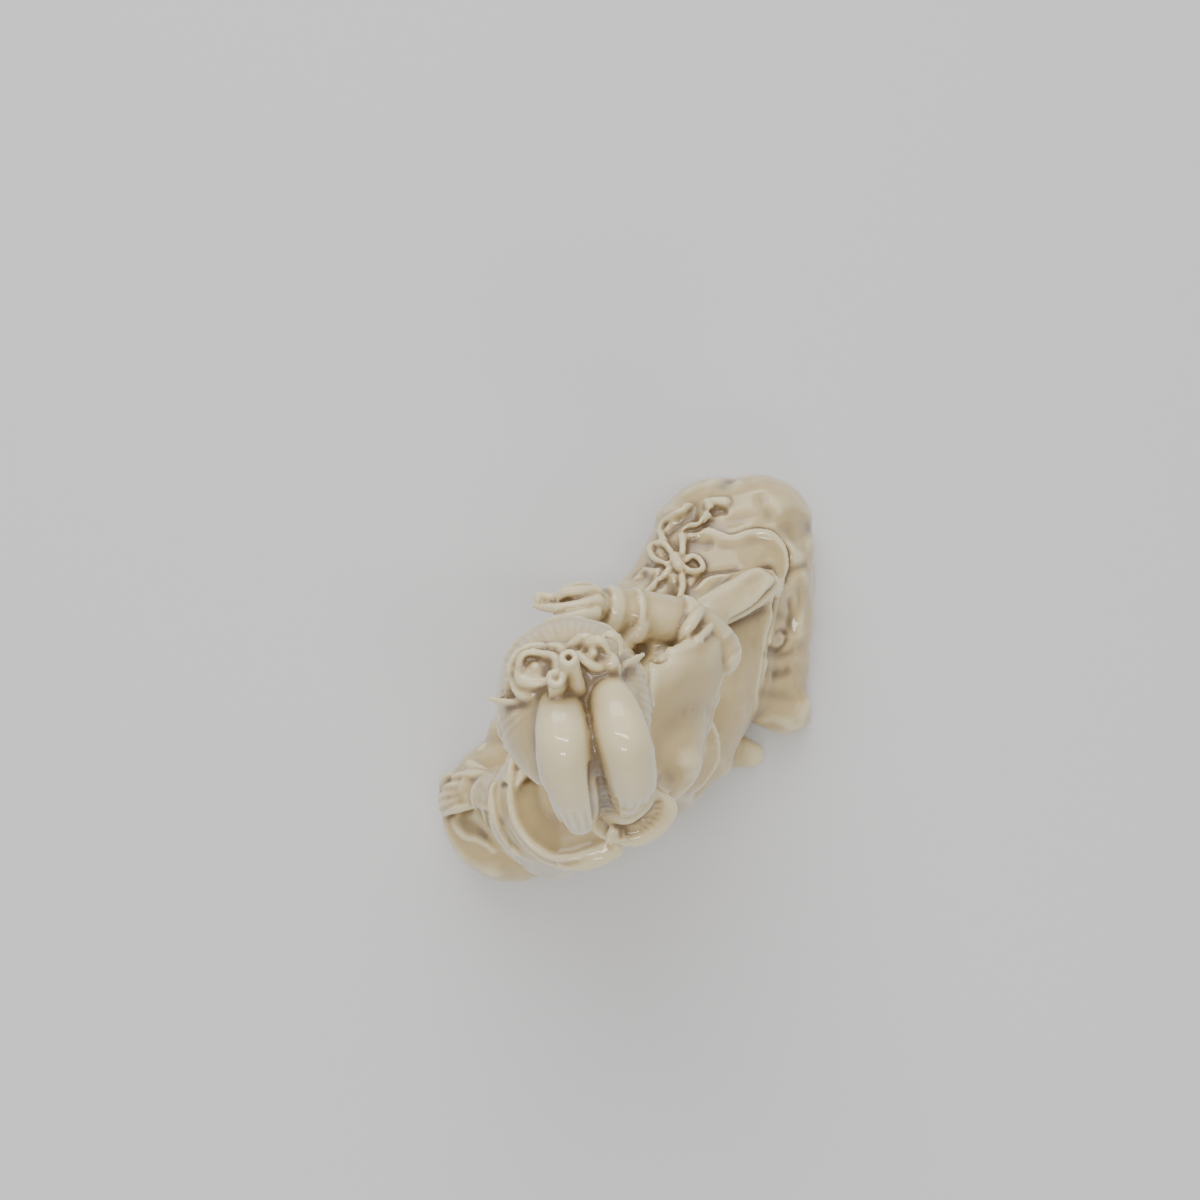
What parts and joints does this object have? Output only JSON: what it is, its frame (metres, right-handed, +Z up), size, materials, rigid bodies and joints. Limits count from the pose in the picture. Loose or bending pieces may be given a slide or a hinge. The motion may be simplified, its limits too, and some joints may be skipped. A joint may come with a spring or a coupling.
{
  "type": "porcelain guanyin figurine",
  "caption": "Glazed porcelain figurine of a robed seated woman with looped hair, one hand on a round cushion and the other raised, standing on its flat underside.",
  "frame": {"origin": "on the underside, below the middle of the outline seen from above", "axes": "+Z up, the figure looks towards -Y, her left is +X"},
  "size_m": [0.132, 0.1442, 0.1705],
  "materials": {
    "porcelain": "clear glossy glaze over ivory white porcelain"
  },
  "bodies": {
    "root": {"figurine": "porcelain"}
  },
  "joints": []
}
